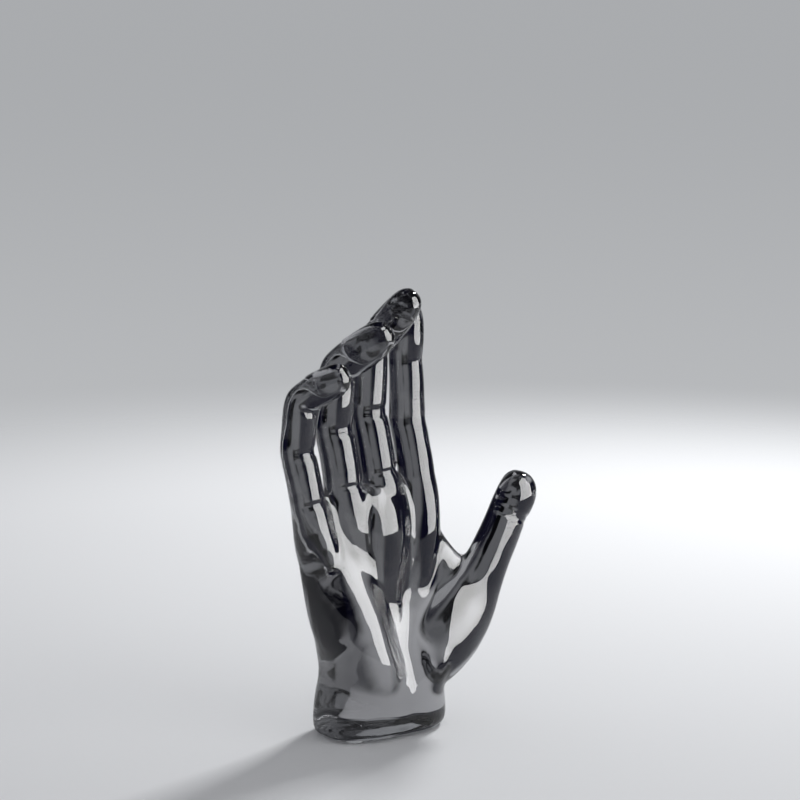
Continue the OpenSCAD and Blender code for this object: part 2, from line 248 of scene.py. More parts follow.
# Folds of the dark card: their noise, the fade between them, and their share of the card's colour
FOLD_NOISE = {"scale": 3.6, "detail": 1.5, "distortion": 0.5}
FOLD_FADE = (0.43, 0.57)
FOLD_SHARES = (0.03, 1.4)

# The floor fades between these shares of its radius. In the glass it also fades at the sides, from
# just before the hand to just behind it, in metres
FLOOR_FADE_SHARES = (0.5, 0.98)
FLOOR_ASIDE_FROM = (-0.01, 0.04)
FLOOR_SPECK_SCALE = 260.0
FLOOR_SPECK_SHARE = 0.08
FLOOR_SPECK_DARKER = 0.8

# Lamps: name, degrees round the hand from the camera, distance and height, height of what they aim
# at, their own width and height, brightness, and the one kind of ray that meets them
LAMPS = (
    ("tall softbox", 71, 0.50, 0.36, 0.30, 0.52, 0.74, 10.0, "glossy"),
    ("front fill", 60, 1.1, 0.8, 0.08, 0.9, 0.9, 0.9, "diffuse"),
    ("back key", 147, 1.0, 0.80, 0.05, 0.26, 0.26, 60.0, "diffuse"),
    ("glint", 140, 1.0, 0.95, 0.10, 0.16, 0.16, 60.0, "glossy"),
)

# The camera goes round the first place and looks at the second
CAMERA_PIVOT = Vector((0, 0, 0.100))
CAMERA_AIM = Vector((0.0146, 0.0043, 0.1515))

# Light crosses many faces of glass between the fingers, and needs this many steps
GLASS_BOUNCES = 28
POLISH_BOUNCES = 16


class HandSizes(bpy.types.PropertyGroup):
    """The driving sizes of the hand, in metres."""

    wrist_width: FloatProperty(
        name="Wrist width", description="Across the foot", default=0.064, unit="LENGTH")
    wrist_depth: FloatProperty(
        name="Wrist depth", description="Palm side to back", default=0.042, unit="LENGTH")
    foot_edge: FloatProperty(
        name="Foot edge", description="Height of the rounded lower edge", default=0.005, unit="LENGTH")
    foot_inset: FloatProperty(
        name="Foot inset", description="How far the lower edge draws in", default=0.0022, unit="LENGTH")
    heel_height: FloatProperty(
        name="Heel height", description="Where the wrist becomes the hand", default=0.030, unit="LENGTH")
    palm_width: FloatProperty(
        name="Palm width", description="Across the four knuckles", default=0.078, unit="LENGTH")
    palm_thickness: FloatProperty(
        name="Palm thickness", description="At the knuckles", default=0.025, unit="LENGTH")
    knuckle_height: FloatProperty(
        name="Knuckle height", description="Middle knuckle above the table", default=0.097, unit="LENGTH")
    web_rise: FloatProperty(
        name="Web rise", description="Webs above that knuckle", default=0.017, unit="LENGTH")
    heel_pad_rise: FloatProperty(
        name="Heel pad", description="Rise below the little finger", default=0.010, unit="LENGTH")
    thumb_pad_rise: FloatProperty(
        name="Ball of the thumb", description="Its rise", default=0.011, unit="LENGTH")
    finger_pad_rise: FloatProperty(
        name="Finger pad", description="Rise below the middle finger", default=0.0055, unit="LENGTH")
    palm_hollow: FloatProperty(
        name="Palm hollow", description="Depth between the pads", default=0.007, unit="LENGTH")
    finger_lengths: FloatVectorProperty(
        name="Finger lengths", description="Index to little, knuckle to tip", size=4,
        default=(0.103, 0.1155, 0.107, 0.095), unit="LENGTH")
    finger_widths: FloatVectorProperty(
        name="Finger widths", description="Index to little, at the middle joint", size=4,
        default=(0.0175, 0.01825, 0.019, 0.017), unit="LENGTH")
    thumb_lengths: FloatVectorProperty(
        name="Thumb lengths", description="Root, middle and end", size=3,
        default=(0.0415, 0.0435, 0.019), unit="LENGTH")
    thumb_width: FloatProperty(
        name="Thumb width", description="At its middle joint", default=0.020, unit="LENGTH")
    web_thickness: FloatProperty(
        name="Web thickness", description="Skin between thumb and index", default=0.012, unit="LENGTH")


class CastingDetail(bpy.types.PropertyGroup):
    """How fine the casting is modelled."""

    cell: FloatProperty(
        name="Cell", description="Edge length of the fused surface", default=0.00085, unit="LENGTH")
    nail_rise: FloatProperty(
        name="Nail rise", description="How far a nail stands proud", default=0.0005, unit="LENGTH")
    crease_depth: FloatProperty(
        name="Crease depth", description="At the finger joints", default=0.0008, unit="LENGTH")
    crease_width: FloatProperty(
        name="Crease width", description="Half width of a crease", default=0.0011, unit="LENGTH")
    ripple: FloatProperty(
        name="Ripple", description="Soft unevenness of cast glass", default=0.0005, unit="LENGTH")
    ripple_size: FloatProperty(
        name="Ripple size", description="Spacing of that unevenness", default=0.016, unit="LENGTH")
    finger_sides: IntProperty(
        name="Finger sides", description="Corners of a ring before it is rounded", default=20)
    finger_web_sides: IntProperty(
        name="Finger web sides", description="Corners of a ring of the skin between fingers", default=16)
    thumb_web_sides: IntProperty(
        name="Thumb web sides", description="Corners of a ring of the skin beside the thumb", default=24)
    palm_sides: IntProperty(
        name="Palm sides", description="Corners of a palm ring before it is rounded", default=32)
    palm_corner_steps: IntProperty(
        name="Palm corner steps", description="Faces in a rounded palm corner", default=10)


class GlassFinish(bpy.types.PropertyGroup):
    """The smoked glass and the clear pads."""

    clear_tint: FloatVectorProperty(
        name="Clear tint", description="The skin of the glass", subtype="COLOR", size=3,
        default=(0.93, 0.935, 0.95))
    hazy_tint: FloatVectorProperty(
        name="Hazy tint", description="The skin where it is a little hazy", subtype="COLOR", size=3,
        default=(0.86, 0.865, 0.88))
    smoke: FloatVectorProperty(
        name="Smoke", description="What the glass lets through", subtype="COLOR", size=3,
        default=(0.20, 0.20, 0.22))
    density: FloatProperty(
        name="Density", description="Strength of the smoke per metre", default=20.0)
    ior: FloatProperty(
        name="Refraction", description="Refractive index of the glass", default=1.5)
    pad_color: FloatVectorProperty(
        name="Pad colour", description="Clear soft plastic", subtype="COLOR", size=3,
        default=(0.80, 0.82, 0.83))


class StageLook(bpy.types.PropertyGroup):
    """The floor, the backdrop, the studio in the glass and the camera."""

    floor_color: FloatVectorProperty(
        name="Floor", description="Colour of the floor", subtype="COLOR", size=3,
        default=(0.68, 0.69, 0.705))
    floor_radius: FloatProperty(
        name="Floor radius", description="Where the floor has faded out", default=0.95, unit="LENGTH")
    floor_seen_in_glass: FloatVectorProperty(
        name="Floor seen in the glass", description="Its light there", subtype="COLOR", size=3,
        default=(0.50, 0.505, 0.52))
    floor_in_glass: FloatVectorProperty(
        name="Floor in the glass", description="Where it fades behind the hand", size=2,
        default=(0.06, 0.30), unit="LENGTH")
    floor_aside_in_glass: FloatVectorProperty(
        name="Floor aside in the glass", description="Where it fades sideways", size=2,
        default=(0.008, 0.05), unit="LENGTH")
    room_light: FloatVectorProperty(
        name="Room light", description="Light that the room throws on dull things", subtype="COLOR",
        size=3, default=(0.42, 0.42, 0.43))
    room_dark: FloatVectorProperty(
        name="Dark room", description="Dark sides of the studio in the glass", subtype="COLOR",
        size=3, default=(0.005, 0.005, 0.014))
    card_color: FloatVectorProperty(
        name="Card", description="Grey card behind the hand, seen in the glass", subtype="COLOR",
        size=3, default=(0.105, 0.107, 0.113))
    backdrop_low: FloatVectorProperty(
        name="Backdrop low", description="Backdrop above the floor", subtype="COLOR", size=3,
        default=(0.50, 0.51, 0.525))
    backdrop_high: FloatVectorProperty(
        name="Backdrop high", description="Backdrop behind the fingers", subtype="COLOR", size=3,
        default=(0.40, 0.41, 0.425))
    azimuth: FloatProperty(
        name="Azimuth", description="Where the camera stands round the hand", subtype="ANGLE",
        default=math.radians(-35))
    elevation: FloatProperty(
        name="Elevation", description="How far it looks down", subtype="ANGLE",
        default=math.radians(13))
    distance: FloatProperty(
        name="Distance", description="Camera to the middle of the palm", default=1.30, unit="LENGTH")
    lens: FloatProperty(
        name="Lens", description="Focal length in millimetres", default=128.7)


def settings():
    return bpy.context.scene.glass_hand_sizes, bpy.context.scene.glass_hand_detail


def start_clean():
    """Deselects everything, so that the next operator acts on the new piece alone."""
    if bpy.context.mode != "OBJECT":
        bpy.ops.object.mode_set(mode="OBJECT")
    bpy.ops.object.select_all(action="DESELECT")


def select_only(pieces):
    start_clean()
    for piece in pieces:
        piece.select_set(True)
    bpy.context.view_layer.objects.active = pieces[0]


def apply_modifier(piece, kind, **values):
    """Adds a modifier, sets it and applies it."""
    select_only([piece])
    modifier = piece.modifiers.new(kind.title(), kind)
    for name, value in values.items():
        setattr(modifier, name, value)
    bpy.ops.object.modifier_apply(modifier=modifier.name)


def bone_dir(heading, splay, lean):
    """Direction of a bone that leans towards its heading and splays sideways, all in degrees."""
    h, s, b = (math.radians(a) for a in (heading, splay, lean))
    front = Vector((math.sin(h), -math.cos(h), 0))
    side = Vector((math.cos(h), math.sin(h), 0))
    return math.cos(s) * (math.sin(b) * front + math.cos(b) * Vector((0, 0, 1))) + math.sin(s) * side


def chain(start, bones):
    """Joints of a row of bones, each given by its direction and length."""
    joints = [Vector(start)]
    for direction, length in bones:
        joints.append(joints[-1] + direction * length)
    return joints


def ray_root(i):
    """Where a ray starts in the wrist, index to little and then the thumb."""
    sizes, _ = settings()
    x, y, z = ROOT_SHARES[i]
    return Vector((x * sizes.wrist_width, y * sizes.wrist_depth, z * sizes.heel_height))


def finger_joints(i):
    """Joints of one finger's ray, from its root beside the wrist to its tip."""
    sizes, _ = settings()
    x, y, z = KNUCKLE_SHARES[i]
    knuckle = (x * sizes.palm_width, y * sizes.palm_thickness, z * sizes.knuckle_height)
    first, second = BONE_SHARES[i]
    dirs = [bone_dir(CURL_HEADINGS[i], CURL_SPLAYS[i], lean) for lean in CURL_LEANS[i]]
    lengths = [share * sizes.finger_lengths[i] for share in (first, second, 1 - first - second)]
    return [ray_root(i)] + chain(knuckle, zip(dirs, lengths))


def thumb_joints():
    """Joints of the thumb's ray, from its root in the wrist to its tip."""
    sizes, _ = settings()
    dirs = [bone_dir(THUMB_HEADING, splay, lean) for splay, lean in zip(THUMB_SPLAYS, THUMB_LEANS)]
    return chain(ray_root(len(ROOT_SHARES) - 1), zip(dirs, sizes.thumb_lengths))


def side_dir(heading):
    return Vector((math.cos(math.radians(heading)), math.sin(math.radians(heading)), 0))


def ray_place(joints, bone, along):
    """Place and direction of a ray on one of its bones: each joint is rounded by a parabola."""
    last = len(joints) - 2
    near_end = along > 1 - BEND_SHARE and bone < last
    near_start = along < BEND_SHARE and bone > 0
    if not (near_end or near_start):
        a, b = joints[bone], joints[bone + 1]
        return a.lerp(b, along) if 0 <= along <= 1 else a + (b - a) * along, (b - a).normalized()
    k = bone + 1 if near_end else bone
    t = (along - 1 + BEND_SHARE) / (2 * BEND_SHARE) if near_end else 0.5 + along / (2 * BEND_SHARE)
    a = joints[k].lerp(joints[k - 1], BEND_SHARE)
    b = joints[k].lerp(joints[k + 1], BEND_SHARE)
    place = a.lerp(joints[k], t).lerp(joints[k].lerp(b, t), t)
    return place, (joints[k] - a).normalized().lerp((b - joints[k]).normalized(), t).normalized()


class Ring:
    """One outline of a drawn-out form: its middle, its own axes and its half sizes."""

    def __init__(self, middle, axes, half_x, half_y):
        self.middle = middle
        self.axes = axes
        self.half_x = half_x
        self.half_y = half_y


def ray_ring(joints, side, half, share):
    """A ring round a ray: half width, then the reach towards the palm and towards the back."""
    place, along = ray_place(joints, share[0], share[1])
    front = side.cross(along).normalized()
    across = along.cross(front).normalized()
    palm, back = half * share[3], half * share[4]
    middle = place + front * (palm - back) / 2
    return Ring(middle, Matrix((across, front, along)).transposed(), half * share[2], (palm + back) / 2)


def stretch(ring, x, y):
    bpy.ops.transform.resize(value=(x, y, 1), orient_type="GLOBAL", orient_matrix=ring.axes,
                             orient_matrix_type="GLOBAL", center_override=ring.middle)


def turn(ring, axes):
    """Turns the selected ring from its axes to the new ones, round its middle."""
    axis, angle = (axes @ ring.axes.transposed()).to_quaternion().to_axis_angle()
    if math.isclose(angle, 0, abs_tol=1e-6):
        return
    across = axis.orthogonal().normalized()
    frame_matrix = Matrix((across, axis.cross(across), axis)).transposed()
    bpy.ops.transform.rotate(value=angle, orient_axis="Z", orient_type="GLOBAL", orient_matrix=frame_matrix,
                             orient_matrix_type="GLOBAL", constraint_axis=(False, False, True),
                             center_override=ring.middle)


def draw_out(name, rings, add_outline):
    """Draws a closed form out of its first outline: each ring is extruded, turned and stretched."""
    start_clean()
    add_outline()
    piece = bpy.context.object
    piece.name = name
    bpy.ops.object.mode_set(mode="EDIT")
    bpy.ops.mesh.select_all(action="SELECT")
    ring = Ring(Vector((0, 0, 0)), Matrix.Identity(3), 1, 1)
    for target in rings:
        step = target.middle - ring.middle
        if target is rings[0]:
            bpy.ops.transform.translate(value=step)
        else:
            bpy.ops.mesh.extrude_region_move(TRANSFORM_OT_translate={"value": step})
        ring.middle = target.middle
        turn(ring, target.axes)
        ring.axes = target.axes
        stretch(ring, target.half_x / ring.half_x, target.half_y / ring.half_y)
        ring.half_x, ring.half_y = target.half_x, target.half_y
    bpy.ops.mesh.select_all(action="SELECT")
    bpy.ops.mesh.normals_make_consistent(inside=False)
    bpy.ops.object.mode_set(mode="OBJECT")
    apply_modifier(piece, "SUBSURF", levels=2, render_levels=2)
    return piece


def round_outline(sides):
    return lambda: bpy.ops.mesh.primitive_circle_add(vertices=sides, radius=1, fill_type="NGON")


def soft_square_outline(steps):
    """A square with widely rounded corners, as a wrist or a palm has across."""
    def add():
        bpy.ops.mesh.primitive_plane_add(size=2)
        bpy.ops.object.mode_set(mode="EDIT")
        bpy.ops.mesh.bevel(offset=OUTLINE_CORNER, segments=steps, profile=0.5, affect="VERTICES")
        bpy.ops.object.mode_set(mode="OBJECT")
    return add


def make_ray(name, joints, heading, width, shares):
    _, detail = settings()
    rings = [ray_ring(joints, side_dir(heading), width / 2, share) for share in shares]
    return draw_out(name, rings, round_outline(detail.finger_sides))


def level_ring(x, y, z, half_width, palm, back):
    return Ring(Vector((x, y + (back - palm) / 2, z)), Matrix.Identity(3), half_width, (palm + back) / 2)


def palm_rings(table):
    """Level rings of the heel or the palm, from a table of shares."""
    sizes, _ = settings()
    rise = sizes.knuckle_height + sizes.web_rise - sizes.heel_height
    return [level_ring(x * sizes.palm_width, y * sizes.palm_thickness, sizes.heel_height + height * rise,
                       half * sizes.palm_width, palm * sizes.palm_thickness, back * sizes.palm_thickness)
            for height, half, palm, back, x, y in table]


def make_wrist():
    """The wrist with its rounded foot edge, up into the heel of the hand."""
    sizes, detail = settings()
    rings = []
    for angle in (0, 30, 60, 90):
        inset = sizes.foot_inset * (1 - math.sin(math.radians(angle)))
        z = HAND_LOW.z + sizes.foot_edge * (1 - math.cos(math.radians(angle)))
        half_depth = sizes.wrist_depth / 2 - inset
        rings.append(level_ring(0, 0, z, sizes.wrist_width / 2 - inset, half_depth, half_depth))
    for height, half, palm, back in WRIST_SHARES:
        z = height * sizes.heel_height + sizes.foot_edge * (1 - height)
        rings.append(level_ring(0, 0, z, half * sizes.wrist_width, palm * sizes.wrist_depth,
                                back * sizes.wrist_depth))
    return draw_out("wrist", rings + palm_rings(HEEL_SHARES), soft_square_outline(detail.palm_corner_steps))


def make_palm():
    """The palm, from inside the wrist to the webs between the fingers."""
    _, detail = settings()
    return draw_out("palm", palm_rings(PALM_SHARES), round_outline(detail.palm_sides))


def corners(piece):
    """The places and normals of a piece's corners, as two arrays."""
    count = len(piece.data.vertices)
    places, normals = np.empty(count * 3), np.empty(count * 3)
    piece.data.vertices.foreach_get("co", places)
    piece.data.vertices.foreach_get("normal", normals)
    return places.reshape(-1, 3), normals.reshape(-1, 3)


def mask(piece, name, weights, steps=60):
    """Writes weights from 0 to 1 into a vertex group, in even steps."""
    group = piece.vertex_groups.get(name) or piece.vertex_groups.new(name=name)
    levels = np.round(np.clip(weights, 0, 1) * steps).astype(int)
    for level in range(1, steps + 1):
        chosen = np.nonzero(levels == level)[0]
        if len(chosen):
            group.add([int(i) for i in chosen], level / steps, "REPLACE")
    return group.name


def push(piece, name, weights, height, direction="NORMAL"):
    """Moves a piece's surface where a mask lies, by at most the given height."""
    group = mask(piece, name, weights)
    apply_modifier(piece, "DISPLACE", vertex_group=group, direction=direction, mid_level=0, strength=height)
    piece.vertex_groups.remove(piece.vertex_groups[group])


def ease(a, b, x):
    """Smooth step from 0 at a to 1 at b."""
    t = np.clip((x - a) / (b - a), 0, 1)
    return t * t * (3 - 2 * t)


def pad_weight(places, pad):
    """Weight of one soft pad over the palm: flat on top, steep at its rim."""
    sizes, _ = settings()
    dx = places[:, 0] - pad[0] * sizes.palm_width
    dz = places[:, 2] - pad[1] * sizes.knuckle_height
    c, s = math.cos(math.radians(pad[4])), math.sin(math.radians(pad[4]))
    along = (dx * s + dz * c) / (pad[3] * sizes.knuckle_height)
    across = (dx * c - dz * s) / (pad[2] * sizes.palm_width) / np.clip(1 + pad[5] * along, *PAD_WIDENING)
    return np.exp(-(across ** 2 + along ** 2) ** PAD_STEEPNESS)


def shape_palm(palm):
    """Raises the soft pads on the palm side, and hollows the middle between them."""
    sizes, _ = settings()
    for name, pad, rise in (("heel pad", HEEL_PAD, sizes.heel_pad_rise),
                            ("thumb pad", THUMB_PAD, sizes.thumb_pad_rise),
                            ("finger pad", FINGER_PAD, sizes.finger_pad_rise),
                            ("hollow", HOLLOW, -sizes.palm_hollow)):
        places, normals = corners(palm)
        facing = ease(*PAD_FACING, -normals[:, 1])
        plumb = ease(sizes.foot_edge, sizes.heel_height, places[:, 2])
        push(palm, name, pad_weight(places, pad) * facing * plumb, -rise, "Y")


def make_finger_web(i, rays):
    """The skin that joins two neighbouring fingers above their knuckles."""
    sizes, detail = settings()
    a, b = rays[i], rays[i + 1]
    start = a[1].lerp(a[2], FINGER_WEB_START_SHARE)
    end = b[1].lerp(b[2], FINGER_WEB_END_SHARE)
    thick = sizes.finger_widths[i] * FINGER_WEB_THICK_SHARE
    along = (end - start).normalized()
    across = along.cross(Vector((0, 0, 1))).normalized()
    axes = Matrix((across, along.cross(across), along)).transposed()
    rings = [Ring(start.lerp(end, at), axes, thick * size, thick * size) for at, size in FINGER_WEB_RINGS]
    return draw_out("finger web", rings, round_outline(detail.finger_web_sides))


def make_thumb_web(index, thumb):
    """The skin between thumb and index: long flat outlines that rise to a sagging free edge."""
    sizes, detail = settings()
    index_low, index_edge = (index[0].lerp(index[1], t) for t in WEB_INDEX_SHARES)
    thumb_low = thumb[0].lerp(thumb[1], WEB_THUMB_SHARES[0])
    thumb_edge = thumb[1].lerp(thumb[2], WEB_THUMB_SHARES[1])
    sag = WEB_SAG_SHARE * (thumb_edge - index_edge).length
    through = (thumb_edge - index_edge).cross(index_low - index_edge).normalized()
    rings = []
    for at, thick in WEB_SHARES:
        start = index_low + (index_edge - index_low) * at
        end = thumb_low + (thumb_edge - thumb_low) * at
        along = (end - start).normalized()
        flat = along.cross(through).normalized()
        half = sizes.web_thickness / 2 * thick
        rings.append(Ring((start + end) / 2, Matrix((along, flat.cross(along), flat)).transposed(),
                          (end - start).length / 2, half))
    web = draw_out("thumb web", rings, round_outline(detail.thumb_web_sides))
    places, _ = corners(web)
    line = np.array(thumb_edge - index_edge)
    t = np.clip((places - np.array(index_edge)) @ line / (line @ line), 0, 1)
    low = np.array(index_low.lerp(thumb_low, 0.5))
    high = np.array(index_edge.lerp(thumb_edge, 0.5))
    up = high - low
    s = np.clip((places - low) @ up / (up @ up), 0, 1)
    push(web, "sag", 4 * t * (1 - t) * s, -sag, "Z")
    return web


def fuse(pieces, name):
    """Joins overlapping closed forms and remeshes them into one even skin."""
    _, detail = settings()
    select_only(pieces)
    bpy.ops.object.join()
    whole = bpy.context.object
    whole.name = name
    apply_modifier(whole, "REMESH", mode="VOXEL", voxel_size=detail.cell, adaptivity=0.0)
    return whole


def smooth(piece, name, weights, rounds):
    """Evens out a piece's surface where a mask lies."""
    group = mask(piece, name, weights)
    apply_modifier(piece, "SMOOTH", vertex_group=group, factor=0.5, iterations=rounds)
    piece.vertex_groups.remove(piece.vertex_groups[group])


def crease_weights(places, normals, joints, side, bone, along, half, width):
    """A crease across the palm side of a ray: a narrow band that fades out round the sides."""
    place, direction = ray_place(joints, bone, along)
    front = side.cross(direction).normalized()
    off = places - np.array(place)
    depth = off @ np.array(direction)
    reach = off - np.outer(depth, np.array(direction))
    outward = np.einsum("ij,ij->i", reach, normals) > half * CREASE_FROM_SHARE
    near = np.linalg.norm(reach, axis=1) < half * CREASE_TO_SHARE
    facing = ease(*CREASE_FACING, normals @ np.array(front))
    return np.exp(-(depth / width) ** 2) * facing * near * outward


def nail_weights(places, normals, joints, heading, width):
    """The plate of a nail on the back of the last bone: a rounded blade with a clear edge."""
    root, tip = joints[-2], joints[-1]
    bone = tip - root
    length = bone.length
    direction = bone.normalized()
    side = side_dir(heading)
    back = -side.cross(direction).normalized()
    off = places - np.array(root)
    along = off @ np.array(direction) / length
    across = off @ np.array(direction.cross(back)) / (width / 2)
    facing = ease(*NAIL_FACING, normals @ np.array(back))
    wide = (np.abs(across) / NAIL_HALF_WIDTH_SHARE) ** NAIL_SQUARE_ACROSS
    long = (np.abs(along - NAIL_MIDDLE_SHARE) / NAIL_HALF_LENGTH_SHARE) ** NAIL_SQUARE_ALONG
    near = np.linalg.norm(off - np.array(bone) * NAIL_REACH_SHARE, axis=1) < length
    return ease(0.0, NAIL_EDGE, 1 - (wide + long)) * facing * near


def detail_casting(hand, rays, thumb):
    """Smooths the fused hand, then adds ripple, creases and nails."""
    sizes, detail = settings()
    places, _ = corners(hand)
    everywhere = np.ones(len(places))
    smooth(hand, "skin", everywhere, SKIN_ROUNDS)
    palm = ease(*PALM_FROM, places[:, 2]) * (1 - ease(*PALM_TO, places[:, 2]))
    smooth(hand, "palm", palm, PALM_ROUNDS)

    texture = bpy.data.textures.new("cast ripple", "CLOUDS")
    texture.noise_scale = detail.ripple_size
    texture.noise_depth = 1
    places, _ = corners(hand)
    between = ease(*RIPPLE_FROM, places[:, 2]) * (1 - ease(*RIPPLE_TO, places[:, 2]))
    uneven = mask(hand, "ripple", between)
    apply_modifier(hand, "DISPLACE", texture=texture, texture_coords="GLOBAL", mid_level=0.5,
                   strength=detail.ripple, vertex_group=uneven)
    bpy.data.textures.remove(texture)

    places, normals = corners(hand)
    creases = np.zeros(len(places))
    for i, joints in enumerate(rays):
        side, half = side_dir(CURL_HEADINGS[i]), sizes.finger_widths[i] / 2
        for bone, along in FINGER_CREASES:
            creases = np.maximum(creases, CREASE_DEPTH_SHARES[i] * crease_weights(
                places, normals, joints, side, bone, along, half, detail.crease_width))
    for bone, along in THUMB_CREASES:
        creases = np.maximum(creases, crease_weights(
            places, normals, thumb, side_dir(THUMB_HEADING), bone, along, sizes.thumb_width / 2,
            detail.crease_width))
    push(hand, "creases", creases, -detail.crease_depth)
    smooth(hand, "creases", creases, CREASE_ROUNDS)

    places, normals = corners(hand)
    nails = nail_weights(places, normals, thumb, THUMB_HEADING, sizes.thumb_width)
    for i, joints in enumerate(rays):
        nails = np.maximum(nails, nail_weights(
            places, normals, joints, CURL_HEADINGS[i], sizes.finger_widths[i]))
    push(hand, "nails", nails, detail.nail_rise)


def grind_foot(hand):
    """Lays the underside of the wrist flat, as the casting is ground."""
    foot = HAND_LOW.z
    for vertex in hand.data.vertices:
        if vertex.co.z < foot + GRIND_HEIGHT:
            vertex.co.z = foot
    hand.data.update()


def seat_in_box(hand):
    """Draws the skin in by the hair's breadth that the ripple and pads stand out of the solid's box."""
    places, _ = corners(hand)
    low, high = places.min(axis=0), places.max(axis=0)
    factors = [min(1.0, abs(float(HAND_LOW[k] / low[k])), abs(float(HAND_HIGH[k] / high[k])))
               for k in (0, 1)]
    factors.append(min(1.0, float((HAND_HIGH.z - HAND_LOW.z) / (high[2] - HAND_LOW.z))))
    select_only([hand])
    bpy.ops.object.mode_set(mode="EDIT")
    bpy.ops.mesh.select_all(action="SELECT")
    bpy.ops.transform.resize(value=factors, center_override=(0, 0, HAND_LOW.z))
    bpy.ops.object.mode_set(mode="OBJECT")


class Socket:
    """A shader value that Python's operators work on, each adding its Math node."""

    def __init__(self, paint, socket):
        self.paint = paint
        self.socket = socket

    def math(self, operation, *values):
        return self.paint.add("ShaderNodeMath", {"operation": operation}, *values)

    def __add__(self, other):
        return self.math("ADD", self, other)

    def __sub__(self, other):
        return self.math("SUBTRACT", self, other)

    def __rsub__(self, other):
        return self.math("SUBTRACT", other, self)

    def __mul__(self, other):
        return self.math("MULTIPLY", self, other)

    __radd__ = __add__
    __rmul__ = __mul__

    def clamp(self):
        return self.paint.add("ShaderNodeClamp", {}, self)

    def smooth(self, low, high):
        """Smooth step from 0 at low to 1 at high."""
        return self.paint.add("ShaderNodeMapRange", {"interpolation_type": "SMOOTHSTEP"},
                              {"Value": self, "From Min": low, "From Max": high})


class Paint:
    """Builds one node tree. add() takes a node's type, its settings and the values of its inputs."""

    def __init__(self, tree):
        self.tree = tree
        tree.nodes.clear()

    def add(self, kind, settings, *values, output=0):
        node = self.tree.nodes.new(kind)
        for name, value in settings.items():
            setattr(node, name, value)
        named = values[0] if len(values) == 1 and isinstance(values[0], dict) else dict(enumerate(values))
        for name, value in named.items():
            if isinstance(value, Socket):
                self.tree.links.new(value.socket, node.inputs[name])
            else:
                node.inputs[name].default_value = value
        return Socket(self, node.outputs[output])

    def out(self, kind, **inputs):
        node = self.tree.nodes.new(kind)
        for name, value in inputs.items():
            self.tree.links.new(value.socket, node.inputs[name])

    def mix(self, factor, a, b):
        """A colour between two, through the colour sockets of a Mix node."""
        return self.add("ShaderNodeMix", {"data_type": "RGBA"}, {0: factor, 6: a, 7: b}, output=2)

    def noise(self, place, scale, detail=2.0, distortion=0.0):
        return self.add("ShaderNodeTexNoise", {}, {
            "Vector": place, "Scale": scale, "Detail": detail, "Distortion": distortion})

    def place(self):
        """Object coordinates."""
        return self.add("ShaderNodeTexCoord", {}, output=3)

    def towards(self, direction, axis):
        """How far a place lies, or a direction points, along an axis."""
        return self.add("ShaderNodeVectorMath", {"operation": "DOT_PRODUCT"}, direction, axis, output=1)

    def ray(self, kind):
        """1 for one kind of ray, such as Camera or Transmission, and 0 for the others."""
        return self.add("ShaderNodeLightPath", {}, output="Is " + kind + " Ray")


def rgba(color, share=1.0):
    """A colour for a socket, or a share of its light."""
    return (*(c * share for c in color), 1.0)


def new_paint(name):
    material = bpy.data.materials.new(name)
    material.use_nodes = True
    return material, Paint(material.node_tree)


def smoked_glass():
    """Solid smoked glass: polished, faintly uneven, with striae from the pour."""
    finish = bpy.context.scene.glass_hand_finish
    material, paint = new_paint("smoked_glass")
    place = paint.place()
    drawn = paint.add("ShaderNodeMapping", {}, {
        "Vector": place, "Rotation": (0.2, 0.1, 0.4), "Scale": (1.0, 1.0, 0.22)})
    striae = paint.noise(drawn, scale=190.0, detail=3.0, distortion=0.6)
    ripple = paint.noise(place, scale=95.0, detail=1.5)
    haze = paint.noise(place, scale=38.0, detail=4.0, distortion=0.4)
    height = ripple * 0.8 + striae * 0.2
    bump = paint.add("ShaderNodeBump", {}, {"Strength": 0.22, "Distance": 0.0006, "Height": height})
    glass = paint.add("ShaderNodeBsdfPrincipled", {}, {
        "Base Color": paint.mix(haze.smooth(0.35, 0.75), rgba(finish.clear_tint), rgba(finish.hazy_tint)),
        "Roughness": haze.smooth(0.55, 0.85) * 0.02,
        "IOR": finish.ior,
        "Transmission Weight": 1.0,
        "Normal": bump,
    })
    smoke = paint.add("ShaderNodeVolumeAbsorption", {}, {
        "Color": rgba(finish.smoke), "Density": finish.density})
    paint.out("ShaderNodeOutputMaterial", Surface=glass, Volume=smoke)
    return material


def clear_pad():
    """Clear soft plastic with a satin skin."""
    finish = bpy.context.scene.glass_hand_finish
    material, paint = new_paint("clear_pad")
    grain = paint.noise(paint.place(), scale=900.0, detail=3.0)
    bump = paint.add("ShaderNodeBump", {}, {"Strength": 0.2, "Distance": 0.0001, "Height": grain})
    cloud = paint.noise(paint.place(), scale=260.0)
    plastic = paint.add("ShaderNodeBsdfPrincipled", {}, {
        "Base Color": paint.mix(cloud, rgba(finish.pad_color), rgba(finish.pad_color, share=1.12)),
        "Roughness": cloud * 0.2 + 0.25,
        "IOR": 1.46,
        "Transmission Weight": 0.85,
        "Normal": bump,
    })
    paint.out("ShaderNodeOutputMaterial", Surface=plastic)
    return material


